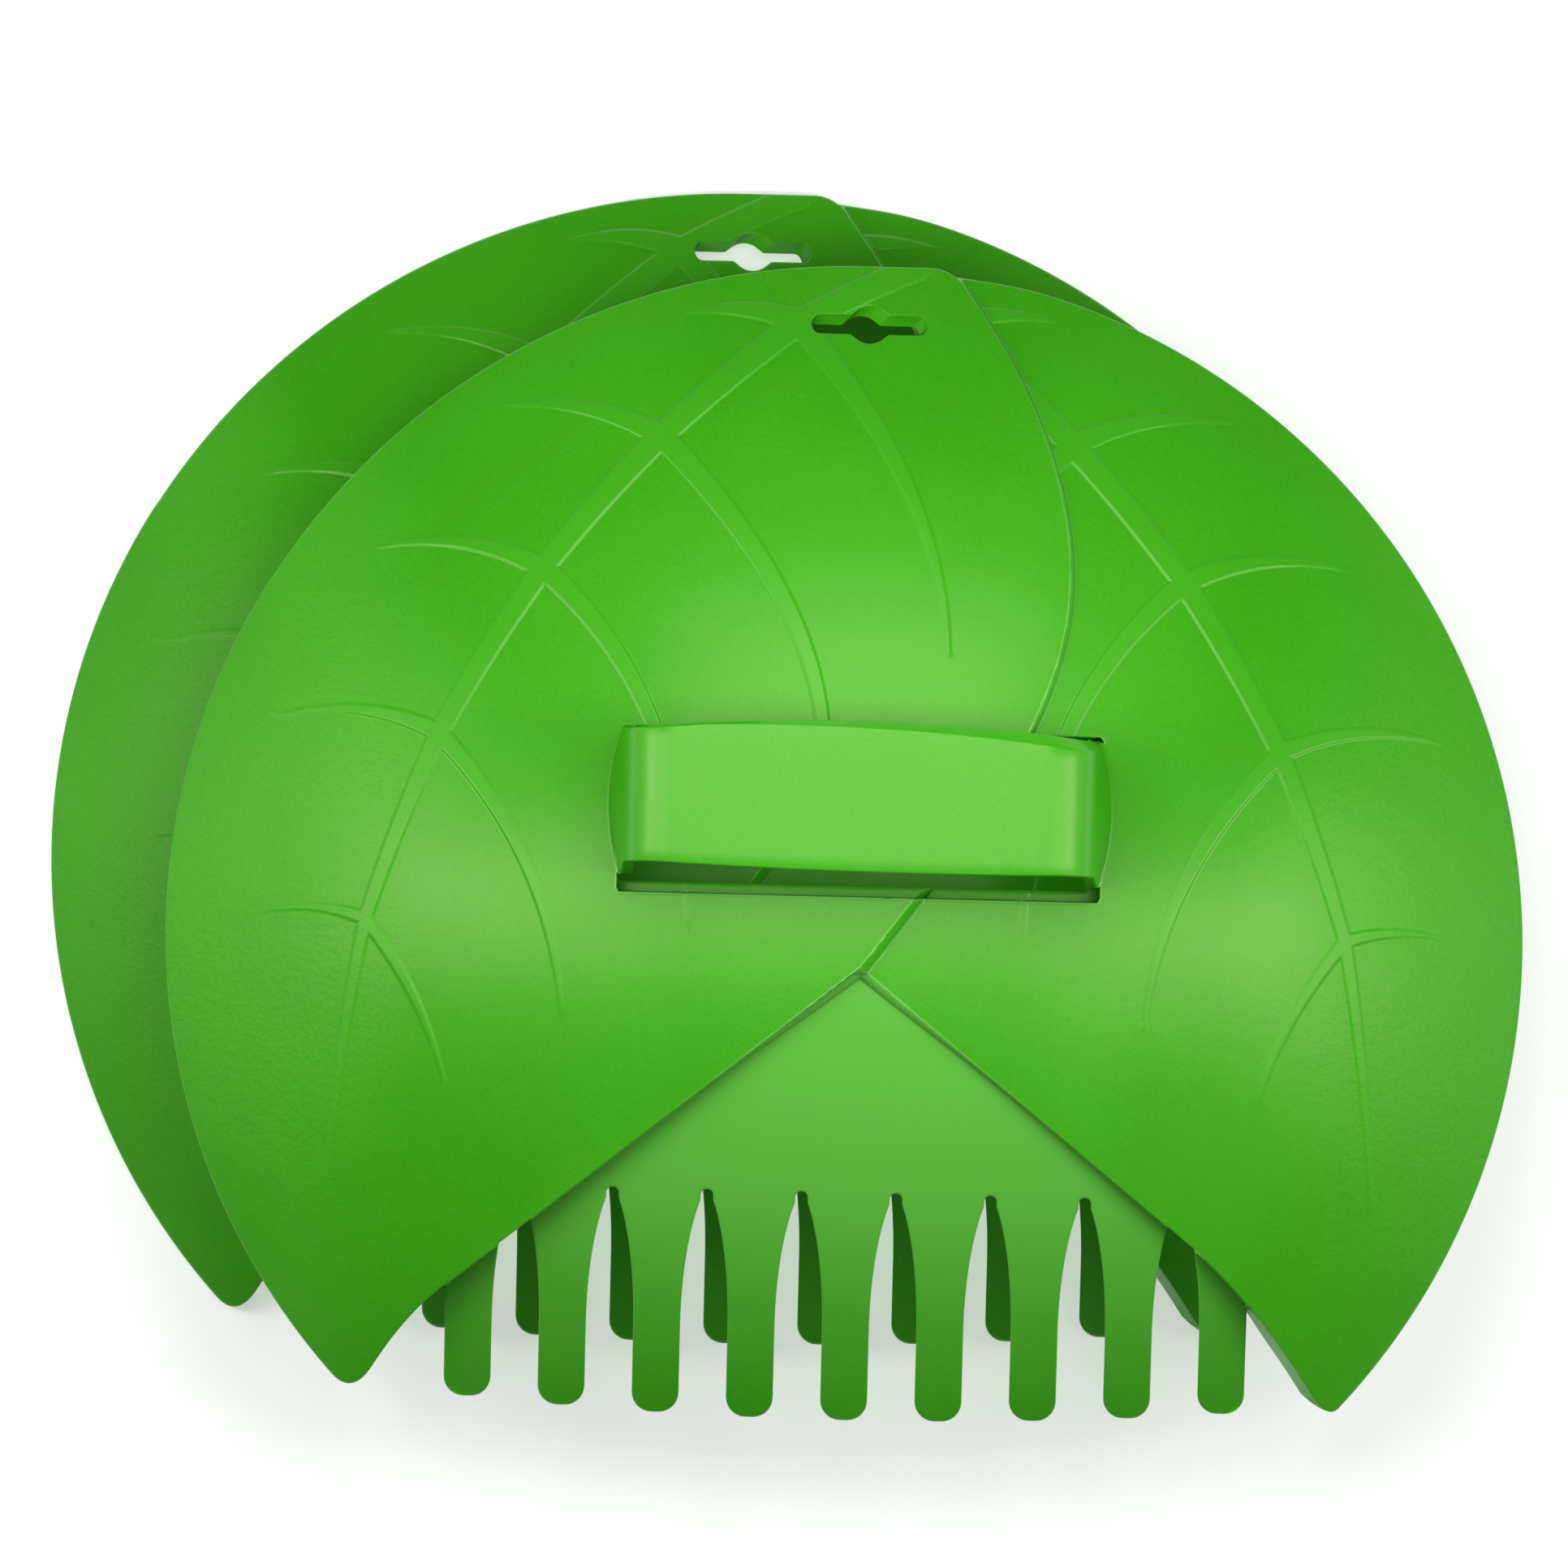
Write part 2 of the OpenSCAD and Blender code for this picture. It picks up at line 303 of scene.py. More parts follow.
def _inside(points, loop):
    x, y = points[:, 0:1], points[:, 1:2]
    a, b = loop, np.roll(loop, -1, axis=0)
    rise = b[:, 1] - a[:, 1]
    crossing = a[:, 0] + (y - a[:, 1]) * (b[:, 0] - a[:, 0]) / np.where(rise == 0, 1, rise)
    hit = ((a[:, 1] > y) != (b[:, 1] > y)) & (x < crossing)
    return hit.sum(axis=1) % 2 == 1


def inside(points, loop):
    return in_chunks(_inside, points, loop)


def _near(points, a, b):
    d = b - a
    t = np.einsum("pmi,mi->pm", points[:, None] - a, d) / (d ** 2).sum(axis=1)
    t = np.clip(t, 0, 1)
    away = points[:, None] - a - t[:, :, None] * d
    dist = np.sqrt((away ** 2).sum(axis=2))
    best = dist.argmin(axis=1)
    row = np.arange(len(points))
    return np.column_stack([dist[row, best], best + t[row, best]])


def near(points, path):
    """The distance to a path, and the place on it, counted in its points."""
    both = in_chunks(_near, points, path[:-1], path[1:])
    return both[:, 0], both[:, 1]


# ---------------------------------------------------------------- the scoop's lines in plan
def lap_line():
    """From the rim to the V's apex, where the left lobe ends on the right one."""
    upper = cubic(LAP_TOP, *LAP_UPPER, LAP_SIDE)
    lower = cubic(LAP_SIDE, *LAP_LOWER, V_APEX)
    return even(chain(upper, lower), LINE_STEP)


def edge_point(side, x):
    return np.array([side * x, V_APEX[1] - (x - side * V_APEX[0]) * EDGE_SLOPE])


def lobe_edge(side):
    """A lobe's lower edge from the V's apex to the start of its rounded tip."""
    corner = TIP_CORNER[side]
    bend = quad(edge_point(side, EDGE_BEND[side]), edge_point(side, EDGE_KNEE[side]), corner, 60)
    bend = bend[np.linalg.norm(bend - corner, axis=1) > TIP_CUT]
    return even(chain(V_APEX[None], bend), LINE_STEP)


def lobe_tip(side):
    centre, r = (LEFT_LOW_C, LEFT_LOW_R) if side < 0 else (RIGHT_C, RIGHT_R)
    on_rim = arc(centre, r, TIP_ANGLES[side], TIP_ANGLES[side], 0)[0]
    return quad(lobe_edge(side)[-1], TIP_CORNER[side], on_rim, 10)


def angle_at_y(centre, r, y):
    return math.degrees(math.asin((y - centre[1]) / r))


def left_rim():
    """The left lobe's outline from its tip, over its top, to the rounded corner at the lap."""
    low_end = 180 - angle_at_y(LEFT_LOW_C, LEFT_LOW_R, LEFT_JOIN_Y)
    low = arc(LEFT_LOW_C, LEFT_LOW_R, TIP_ANGLES[-1], low_end, 150)
    up = arc(LEFT_UP_C, LEFT_UP_R, 180 - angle_at_y(LEFT_UP_C, LEFT_UP_R, LEFT_JOIN_Y), 90, 90)
    top_y = LEFT_UP_C[1] + LEFT_UP_R
    corner = quad((LEFT_TOP_X[0], top_y), (LEFT_TOP_X[1], top_y), LAP_CUT, 8)
    return even(chain(low, up, corner), RIM_STEP)


def right_rim():
    """The right lobe's outline from the lap to its tip, which dips a little beside the lap."""
    rim = arc(RIGHT_C, RIGHT_R, RIGHT_START, TIP_ANGLES[1], 240)
    out = (rim - RIGHT_C) / RIGHT_R
    dip = RIGHT_DIP * np.exp(-((rim[:, 0] - LAP_TOP[0]) / RIGHT_DIP_W) ** 2) * (rim[:, 1] > 0)
    return even(rim - dip[:, None] * out, RIM_STEP)


def left_loop():
    """The left lobe's outline: its lap, lower edge, tip and rim."""
    lap = lap_line()
    lap = lap[lap[:, 1] < LAP_CUT[1]]
    return chain(lap, lobe_edge(-1), lobe_tip(-1), left_rim())


def right_loop():
    """The right lobe's outline, whose lap side runs on under the left lobe."""
    under = shifted(lap_line(), -UNDERLAP)[4:-4]
    corner = V_APEX[None] + [-UNDERLAP, UNDERLAP]
    return chain(right_rim(), lobe_tip(1)[::-1], lobe_edge(1)[::-1], corner, under[::-1])


def gap_half(depth):
    """Half of the width of a gap between tines, which opens from its round top."""
    top = np.sqrt(np.maximum(GAP_TOP_R ** 2 - np.maximum(GAP_TOP_R - depth, 0) ** 2, 0))
    side = (PITCH - TINE_W) / 2 * np.sin(np.pi / 2 * np.minimum(depth / GAP_RISE, 1) ** GAP_POWER)
    return np.maximum(top, side)


def panel_loop():
    """The comb of tines, closed by two lines under the lobes."""
    parts = []
    corner_r = TINE_W * TINE_ROUND
    top_depth = GAP_TOP_R * (1 - np.cos(np.linspace(0, np.pi / 2, 6)))
    depth = np.concatenate([top_depth, np.linspace(3, GAP_RISE, 18)])
    for i in range(TINES):
        n = i - (TINES - 1) / 2
        x = n * PITCH
        y = TIP_Y + TIP_SAG * (n / 4) ** 2
        low = x - TINE_W / 2 + corner_r
        parts.append(arc((low, y + corner_r), corner_r, 180, 270, 7))
        parts.append(arc((x + TINE_W / 2 - corner_r, y + corner_r), corner_r, 270, 360, 7))
        if i < TINES - 1:
            half = gap_half(depth)
            left = np.column_stack([x + PITCH / 2 - half, GAP_TOP_Y - depth])
            right = np.column_stack([x + PITCH / 2 + half, GAP_TOP_Y - depth])
            parts += [left[::-1], right]
    end = PITCH * (TINES - 1) / 2 + TINE_W / 2
    parts.append(np.array([[end, PANEL_SIDE_Y], [V_APEX[0], 0], [-end, PANEL_SIDE_Y]]))
    return subdivided(chain(*parts), RIM_STEP)


def subdivided(loop, longest):
    """The loop with points added on its long stretches."""
    out = []
    for a, b in zip(loop, np.roll(loop, -1, axis=0)):
        n = max(1, math.ceil(np.linalg.norm(b - a) / longest))
        out += [a + (b - a) * k / n for k in range(n)]
    return np.array(out)


def rounded_box(low, high, r):
    (x0, y0), (x1, y1) = low, high
    parts = [arc((x1 - r, y1 - r), r, 0, 90, 5), arc((x0 + r, y1 - r), r, 90, 180, 5),
             arc((x0 + r, y0 + r), r, 180, 270, 5), arc((x1 - r, y0 + r), r, 270, 360, 5)]
    return subdivided(chain(*parts), RIM_STEP)


def slot_loop():
    """The hand slot at the outside of the wall."""
    half = np.array([SLOT_L, SLOT_W]) / 2
    return rounded_box(SLOT_C - half, SLOT_C + half, SLOT_CORNER)


def slot_hole_loop():
    """The opening that the ledge leaves of the hand slot."""
    half = np.array([SLOT_L, SLOT_W]) / 2
    return rounded_box(SLOT_C - half + [0, LEDGE_LOW], SLOT_C + half - [LEDGE_RIGHT, 0], SLOT_CORNER)


def hang_loop():
    """The hang slot: round-ended wings and a middle circle, blended into each other."""
    end = HANG_L / 2
    x = end * np.sin(np.linspace(-np.pi / 2, np.pi / 2, 49))
    past = np.clip((np.abs(x) - end + HANG_WING / 2) / (HANG_WING / 2), 0, 1)
    wing = HANG_WING / 2 * np.sqrt(1 - past ** 2)
    disc = np.sqrt(np.maximum((HANG_D / 2) ** 2 - x ** 2, 0))
    both = (wing + disc) / 2 + np.sqrt((wing - disc) ** 2 + HANG_BLEND ** 2) / 2
    y = (both - HANG_BLEND ** 2 / 4 / np.maximum(wing, HANG_BLEND)) * (1 - past ** 8)
    top = np.column_stack([x, HANG_Y + y])
    low = np.column_stack([x, HANG_Y - y])[::-1]
    return chain(top, low[1:-1])


# ---------------------------------------------------------------- veins
def ribbons():
    """Each vein's middle line with its half width at every point, for the right lobe."""
    out = []
    for a, b, wa, wb in zip(MIDRIB[:-1], MIDRIB[1:], MIDRIB_W[:-1], MIDRIB_W[1:]):
        bow = MIDRIB_BOW * np.array([a[1] - b[1], b[0] - a[0]])
        out.append((quad(a, (a + b) / 2 + bow, b, 16), wa / 2, wb / 2))
    for i in range(len(OUTER)):
        a, w = MIDRIB[i + 1], MIDRIB_W[i + 1] / 2
        out.append((quad(a, *OUTER[i], 24), w, OUTER_TIP_W / 2))
        out.append((quad(a, INNER[i][0], INNER[i][1], 36), w, INNER[i][2] / 2))
    return [(even(line, LINE_STEP), w0, w1) for line, w0, w1 in out]


def vein_height(points, side):
    """How far the veins of one lobe stand over it."""
    best = np.zeros(len(points))
    for line, w0, w1 in ribbons():
        dist, place = near(points * [side, 1], line)
        half = w0 + (w1 - w0) * place / (len(line) - 1)
        fade = np.clip(half / VEIN_FULL, VEIN_LEAST, 1)
        best = np.maximum(best, fade * smooth((half - dist) / VEIN_RAMP + 0.5))
    return VEIN_H * best


def vein_rails(side, keep):
    """The triangles' lines along both edges of each vein of one lobe."""
    rails = []
    for line, w0, w1 in ribbons():
        half = np.linspace(w0, w1, len(line))
        for grow in BESIDE_VEIN:
            d = half + VEIN_RAMP * grow
            use = d > VEIN_LEAST_RAIL
            for sign in (-1, 1):
                rail = shifted(line, sign * d) * [side, 1]
                rails += split(rail, use & keep(rail))
    return rails


def split(path, use):
    """The runs of a path's points that are used."""
    runs, run = [], []
    for p, ok in zip(path, use):
        if ok:
            run.append(p)
        if not ok or p is path[-1]:
            if len(run) > 1:
                runs.append(np.array(run))
            run = []
    if len(run) > 1:
        runs.append(np.array(run))
    return runs


# ---------------------------------------------------------------- heights
def sphere_z(p, r):
    return DOME_Z + np.sqrt(np.maximum(r ** 2 - (p ** 2).sum(axis=1), 1))


def panel_z(p, grow=0.0):
    r = np.sqrt((DOME_R + grow) ** 2 - p[:, 0] ** 2) - (DOME_R - CURL_R)
    return PANEL_TOP - CURL_R + np.sqrt(np.maximum(r ** 2 - p[:, 1] ** 2, 1))


def step(s, low, high, draft, edge_r, foot_r):
    """A step from low to high: its upper corner at s = 0, its lower one at s = -draft, both rounded."""
    rise = np.maximum(high - low, 1e-3)
    slope = np.arctan2(rise, draft)
    t_edge = edge_r * np.tan(slope / 2)
    t_foot = foot_r * np.tan(slope / 2)
    z = high + np.clip(s / draft, -1, 0) * rise
    on_edge = (s > -t_edge * np.cos(slope)) & (s < t_edge)
    z = np.where(on_edge, high - edge_r + np.sqrt(np.maximum(edge_r ** 2 - (s - t_edge) ** 2, 0)), z)
    f = s + draft + t_foot
    on_foot = (s > -draft - t_foot) & (s < -draft + t_foot * np.cos(slope))
    return np.where(on_foot, low + foot_r - np.sqrt(np.maximum(foot_r ** 2 - f ** 2, 0)), z)


def rolled_step(s, low, high, draft):
    """A step whose edge at s = 0 has a slight crease and rolls over to its foot at s = -draft."""
    u = np.clip(-s / draft, 0, 1)
    return high - np.maximum(high - low, 1e-3) * (CREASE * u + (1 - CREASE) * (1 - np.sqrt(1 - u * u)))


def lap_draft(y):
    """The lap's ramp is wide near the V and steep near the rim."""
    return np.interp(y, [0, 70, 150, 185], [2.5, 1.6, 0.9, 0.8])


def v_draft(x):
    """The V's step is steep, but less so at its apex."""
    return 0.5 + 1.8 * np.exp(-((x - V_APEX[0]) / 26) ** 2)


def rim_drop(d, r):
    """How far an edge rounding of radius r lowers the surface at a distance d from the edge."""
    return r - np.sqrt(np.maximum(r ** 2 - np.maximum(r - d, 0) ** 2, 0))


class Plan:
    """The scoop's loops, and where any point lies among them."""

    def __init__(self):
        self.left = left_loop()
        self.right = right_loop()
        self.panel = panel_loop()
        self.slot = slot_loop()
        self.holes = [slot_hole_loop(), hang_loop()]
        self.lap = lap_line()
        self.v = chain(lobe_edge(-1)[::-1], lobe_edge(1))

    def in_left(self, p):
        return inside(p, self.left)

    def in_lobes(self, p):
        return inside(p, self.left) | inside(p, self.right)

    def filled(self, p):
        solid = self.in_lobes(p) | inside(p, self.panel)
        for hole in self.holes:
            solid &= ~inside(p, hole)
        return solid


def outside_height(plan, p, rim):
    """The height of the scoop's outside at points that are rim away from the plan's boundary."""
    in_left, in_lobes = plan.in_left(p), plan.in_lobes(p)
    s_lap = near(p, plan.lap)[0] * np.where(in_left, 1, -1)
    s_v = near(p, plan.v)[0] * np.where(in_lobes, 1, -1)
    lobes = rolled_step(s_lap, sphere_z(p, DOME_R), sphere_z(p, DOME_R + STEP_H), lap_draft(p[:, 1]))
    lobes = lobes + np.where(in_left, vein_height(p, -1), vein_height(p, 1) * (s_lap < -lap_draft(p[:, 1])))
    shape = rolled_step(s_v, panel_z(p), lobes, v_draft(p[:, 0]))
    in_slot = inside(p, plan.slot)
    s_slot = near(p, closed_line(plan.slot))[0] * np.where(in_slot, -1, 1)
    ledge = step(s_slot, shape - LEDGE_DROP, shape, 0.3, 0.6, 0.4)
    base = np.where(in_slot, shape - LEDGE_DROP, np.where(in_lobes, lobes, shape))
    return np.minimum(ledge, base - rim_drop(rim, RIM_R))


def inside_height(plan, p, rim):
    """The height of the scoop's inside, one wall below, whose steps lie one wall further in."""
    in_left, in_lobes = plan.in_left(p), plan.in_lobes(p)
    s_lap = near(p, plan.lap)[0] * np.where(in_left, 1, -1) - WALL
    s_v = near(p, plan.v)[0] * np.where(in_lobes, 1, -1) - WALL
    lobes = step(s_lap, sphere_z(p, DOME_R - WALL), sphere_z(p, DOME_R + STEP_H - WALL), 1.0, 0.5, 0.4)
    shape = step(s_v, panel_z(p, -WALL), np.maximum(lobes, panel_z(p, -WALL)), 0.6, 0.5, 0.8)
    s_ledge = near(p, ledge_line())[0] - WALL
    shape = step(s_ledge, shape - LEDGE_DROP, shape, 0.5, 0.5, 0.5)
    return np.maximum(shape, 0) + rim_drop(rim, INNER_RIM_R)


def ledge_line():
    """The ledge's step, along the slot's -Y and +X edges."""
    half = np.array([SLOT_L, SLOT_W]) / 2
    low, high = SLOT_C - half, SLOT_C + half
    low, high = low + LEDGE_INSET, high - LEDGE_INSET
    return np.array([low, [high[0], low[1]], high])


# ---------------------------------------------------------------- triangulation
def rails(plan):
    """Every line inside the boundary that the triangles must follow."""
    lines = []
    draft = lap_draft(plan.lap[:, 1])
    lines += [shifted(plan.lap, -d) for d in BESIDE_LAP[::-1]]
    lines += [shifted(plan.lap, draft * u) for u in ROLL]
    lines += [shifted(plan.lap, draft + d) for d in BESIDE_LAP]
    lines += [shifted(plan.lap, -WALL - d) for d in INSIDE_LAP]
    for side in (-1, 1):
        edge = lobe_edge(side)
        draft = v_draft(edge[:, 0])
        lines += [shifted(edge, side * d) for d in ABOVE_V[::-1]]
        lines += [shifted(edge, -side * draft * u) for u in ROLL]
        lines += [shifted(edge, -side * (draft + d)) for d in BELOW_V]
        lines += [shifted(edge, side * (WALL + d)) for d in INSIDE_V]
    lines = [run for line in lines for run in split(line, plan.filled(line))]
    lines.append(plan.lap)
    lines += [closed_line(shifted(plan.slot, -d, closed=True)) for d in AROUND_SLOT]
    lines += vein_rails(-1, plan.in_left)
    lines += vein_rails(1, lambda p: plan.in_lobes(p) & ~plan.in_left(p))
    return lines


def boundary_rails(plan):
    """The outlines and openings, with the lines beside them that carry their rounding."""
    lines = []
    loops = [(loop, 1) for loop in (plan.left, plan.right, plan.panel)] + [(hole, -1) for hole in plan.holes]
    for loop, into in loops:
        turn = np.sign(np.cross(loop, np.roll(loop, -1, axis=0)).sum())
        for d in INSIDE_BOUNDARY:
            lines.append(closed_line(shifted(loop, into * turn * d, closed=True)))
    return lines


def triangulate(lines, fill):
    """A constrained Delaunay triangulation of lines and loose points: its points and triangles."""
    points, edges = [], []
    for line in lines:
        start = len(points)
        points += [Vector(p) for p in line]
        edges += [(start + i, start + i + 1) for i in range(len(line) - 1)]
    points += [Vector(p) for p in fill]
    found = geometry.delaunay_2d_cdt(points, edges, [], 0, 0.01, False)
    return np.array([tuple(p) for p in found[0]]), np.array(found[2])


def hex_points(low, high, pitch):
    """Points on a triangular grid that fills a box."""
    out = []
    for k, y in enumerate(np.arange(low[1], high[1], pitch * math.sqrt(3) / 2)):
        x = np.arange(low[0] + (k % 2) * pitch / 2, high[0], pitch)
        out.append(np.column_stack([x, np.full(len(x), y)]))
    return np.vstack(out)


def clear_of(points, others, gap):
    """Which points are more than gap away from all the others."""
    tree = kdtree.KDTree(len(others))
    for i, p in enumerate(others):
        tree.insert((p[0], p[1], 0), i)
    tree.balance()
    return np.array([tree.find((p[0], p[1], 0))[2] > gap for p in points])


def boundary_edges(tris):
    """The edges that only one triangle has, with the triangle on their left."""
    e = np.vstack([tris[:, [0, 1]], tris[:, [1, 2]], tris[:, [2, 0]]])
    key = np.sort(e, axis=1)
    _, index, count = np.unique(key, axis=0, return_index=True, return_counts=True)
    return e[index[count == 1]]


def plan_triangles(plan):
    """The plan's points and triangles, all turned the same way."""
    lines = rails(plan) + boundary_rails(plan)
    grid = hex_points((-190, -132), (186, 186), FILL_STEP)
    grid = grid[plan.filled(grid)]
    grid = grid[clear_of(grid, np.vstack(lines), FILL_STEP * 0.55)]
    flat, tris = triangulate(lines, grid)
    tris = tris[plan.filled(flat[tris].mean(axis=1))]
    used, tris = np.unique(tris, return_inverse=True)
    tris = tris.reshape(-1, 3)
    flat = flat[used]
    a, b, c = (flat[tris[:, i]] for i in range(3))
    turned = np.cross(b - a, c - a) < 0
    tris[turned] = tris[turned][:, ::-1]
    return flat, tris


def inside_plan(flat):
    """The inside's points in plan: shifted at the hang slot, whose walls slant, and at the flare."""
    past = np.maximum(np.abs(flat - [0, HANG_Y]) - [HANG_L / 2, HANG_D / 2], 0)
    slant = np.clip(1 - np.linalg.norm(past, axis=1) / HANG_REACH, 0, 1)
    flare = np.clip(1 - near(flat, lobe_edge(1))[0] / FLARE_REACH, 0, 1)
    flare *= smooth((flat[:, 0] - FLARE_FROM) / FLARE_LENGTH)
    return flat + HANG_SHIFT * slant[:, None] + FLARE * flare[:, None]


def shell_mesh(plan):
    """The scoop's wall as one closed surface: points and triangles."""
    flat, tris = plan_triangles(plan)
    border = boundary_edges(tris)
    rim = rim_distance(flat, border)
    inner = nudged(flat, border, EDGE_NUDGE)
    top = np.maximum(outside_height(plan, inner, rim), LEAST_TOP)
    low = np.minimum(inside_height(plan, inner, rim), top - LEAST_WALL)
    n = len(flat)
    walls = np.vstack([np.column_stack([border[:, 1], border[:, 0], border[:, 0] + n]),
                       np.column_stack([border[:, 1], border[:, 0] + n, border[:, 1] + n])])
    points = np.vstack([np.column_stack([flat, top]), np.column_stack([inside_plan(flat), low])])
    return points, np.vstack([tris, tris[:, ::-1] + n, walls])


def nudged(points, border, by):
    """The points, with those on the boundary moved into the plan, where tests on them are certain."""
    along = points[border[:, 1]] - points[border[:, 0]]
    inward = np.zeros_like(points)
    for end in (0, 1):
        np.add.at(inward, border[:, end], np.column_stack([-along[:, 1], along[:, 0]]))
    length = np.linalg.norm(inward, axis=1)[:, None]
    return points + by * inward / np.maximum(length, 1e-9)


def rim_distance(points, border):
    """Each point's distance to the boundary, or RIM_FAR for those that its rounding doesn't reach."""
    out = np.full(len(points), RIM_FAR)
    close = ~clear_of(points, points[np.unique(border)], RIM_FAR)
    a, b = points[border[:, 0]], points[border[:, 1]]
    out[close] = in_chunks(_near, points[close], a, b, size=1500)[:, 0]
    return np.minimum(out, RIM_FAR)


# ---------------------------------------------------------------- strap
def strap_section(low_y, high_y, bevel):
    """The strap's section as a loop of (across, outward); its +Y edge slopes by the bevel."""
    r = STRAP_EDGE_R
    steps = 14
    crest = high_y - bevel
    loop = [(y, 0.0) for y in np.linspace(low_y + 1.3 * r, crest - r, steps)]
    loop += [(crest - 0.55 * r, -0.10 * r), (crest - 0.2 * r, -0.35 * r)]
    loop += [(high_y - 0.35, 1.0 - STRAP_T), (high_y - 0.1, 0.7 - STRAP_T), (high_y - 0.15, 0.3 - STRAP_T)]
    loop += [(y, -STRAP_T) for y in np.linspace(high_y - 0.6, low_y + 0.8, steps)]
    loop += [(low_y + 0.25, 0.12 - STRAP_T), (low_y, 0.45 - STRAP_T), (low_y, -1.3 * r)]
    loop += [(low_y + 0.12 * r, -0.7 * r), (low_y + 0.5 * r, -0.2 * r)]
    return loop


def strap_stations():
    """Half of the strap's way, from its middle to its foot: (part, how far, x, z, tilt of its outside)."""
    end_tilt = 2 * STRAP_CROWN / STRAP_FLAT
    centre_z = STRAP_H - STRAP_CROWN - STRAP_CORNER
    out = []
    for x in np.linspace(0, STRAP_FLAT, 14):
        along = x / STRAP_FLAT
        out.append(("top", 0.0, x, STRAP_H - STRAP_CROWN * along ** 2, end_tilt * along))
    for t in np.linspace(0.07, 1, 16):
        a = math.radians(STRAP_BEND) * t
        x = STRAP_FLAT + STRAP_CORNER * math.sin(a)
        out.append(("bend", t, x, centre_z + STRAP_CORNER * math.cos(a), a))
    leg_x, leg_z = out[-1][2:4]
    out += [("leg", t, leg_x, leg_z, 0.0) for t in np.linspace(0.1, 1, 10)]
    out += [("fillet", t, leg_x, leg_z, 0.0) for t in (0.3, 0.55, 0.8, 1.0)]
    out.append(("root", 1.0, leg_x, leg_z, 0.0))
    return out


def strap_half(side):
    """The rings of one half of the strap, whose legs bulge outward between their edges."""
    dome = DOME_R + (STEP_H if side < 0 else 0)
    out = []
    for part, t, x, z, tilt in strap_stations():
        along = x / STRAP_HALF
        down = {"top": 0.0, "bend": 0.25 * t * t, "leg": 0.25 + 0.75 * t}.get(part, 1.0)
        low_y = STRAP_LOW_Y + STRAP_LOW_BOW * along ** 2 - STRAP_LOW_TILT * side * along
        low_y -= STRAP_LOW_FALL[side] * down
        high_y = STRAP_HIGH_Y - STRAP_HIGH_BOW * along ** 2 - STRAP_HIGH_TILT * side * along
        high_y += STRAP_HIGH_RISE * down
        bevel = np.interp(side * x, STRAP_BEVEL_X, STRAP_BEVEL) * (1 - 0.7 * down)
        ring = []
        for y, n in strap_section(low_y, high_y, bevel):
            v = (2 * y - low_y - high_y) / (high_y - low_y)
            foot_x = x + STRAP_FOOT_OUT + STRAP_FOOT_BULGE * (1 - v * v)
            foot_z = DOME_Z + math.sqrt(dome ** 2 - (foot_x + n) ** 2 - (y + SLOT_C[1]) ** 2)
            outward = FOOT_FILLET if n > -1 else 0.0
            if part in ("top", "bend"):
                px, pz = x + n * math.sin(tilt), z + n * math.cos(tilt)
            elif part == "leg":
                px, pz = x + n + (foot_x - x) * t, z + (foot_z + FOOT_FILLET - z) * t
            elif part == "fillet":
                swing = t * math.pi / 2
                px = foot_x + n + outward * (1 - math.cos(swing))
                pz = foot_z + FOOT_FILLET * (1 - math.sin(swing))
            else:
                px, pz = foot_x + n + outward, foot_z - WALL / 2
            ring.append((side * px + SLOT_C[0], y + SLOT_C[1], pz))
        out.append(ring)
    return out


def strap_mesh():
    """The strap as one closed surface, its feet sunk into the wall."""
    rings = strap_half(-1)[::-1] + strap_half(1)[1:]
    k = len(rings[0])
    points = [p for ring in rings for p in ring]
    tris = []
    for i in range(len(rings) - 1):
        for j in range(k):
            a, b = i * k + j, i * k + (j + 1) % k
            tris += [(a, b, b + k), (a, b + k, a + k)]
    for ring, first in ((rings[0], 0), (rings[-1], (len(rings) - 1) * k)):
        middle = len(points)
        points.append(tuple(np.mean(ring, axis=0)))
        for j in range(k):
            a, b = first + j, first + (j + 1) % k
            tris.append((b, a, middle) if first == 0 else (a, b, middle))
    return points, np.array(tris)


# ---------------------------------------------------------------- Blender objects
def mesh_object(name, points, tris):
    mesh = bpy.data.meshes.new(name)
    mesh.from_pydata([tuple(p) for p in points], [], [tuple(t) for t in tris.tolist()])
    mesh.validate()
    obj = bpy.data.objects.new(name, mesh)
    bpy.context.scene.collection.objects.link(obj)
    return obj


def fused(name, body, tool):
    """A new object that is the union of two closed ones, which are removed."""
    mod = body.modifiers.new("fuse", "BOOLEAN")
    mod.operation = "UNION"
    mod.solver = "MANIFOLD"
    mod.object = tool
    graph = bpy.context.evaluated_depsgraph_get()
    mesh = bpy.data.meshes.new_from_object(body.evaluated_get(graph))
    bpy.data.objects.remove(body)
    bpy.data.objects.remove(tool)
    mesh.name = name
    return mesh


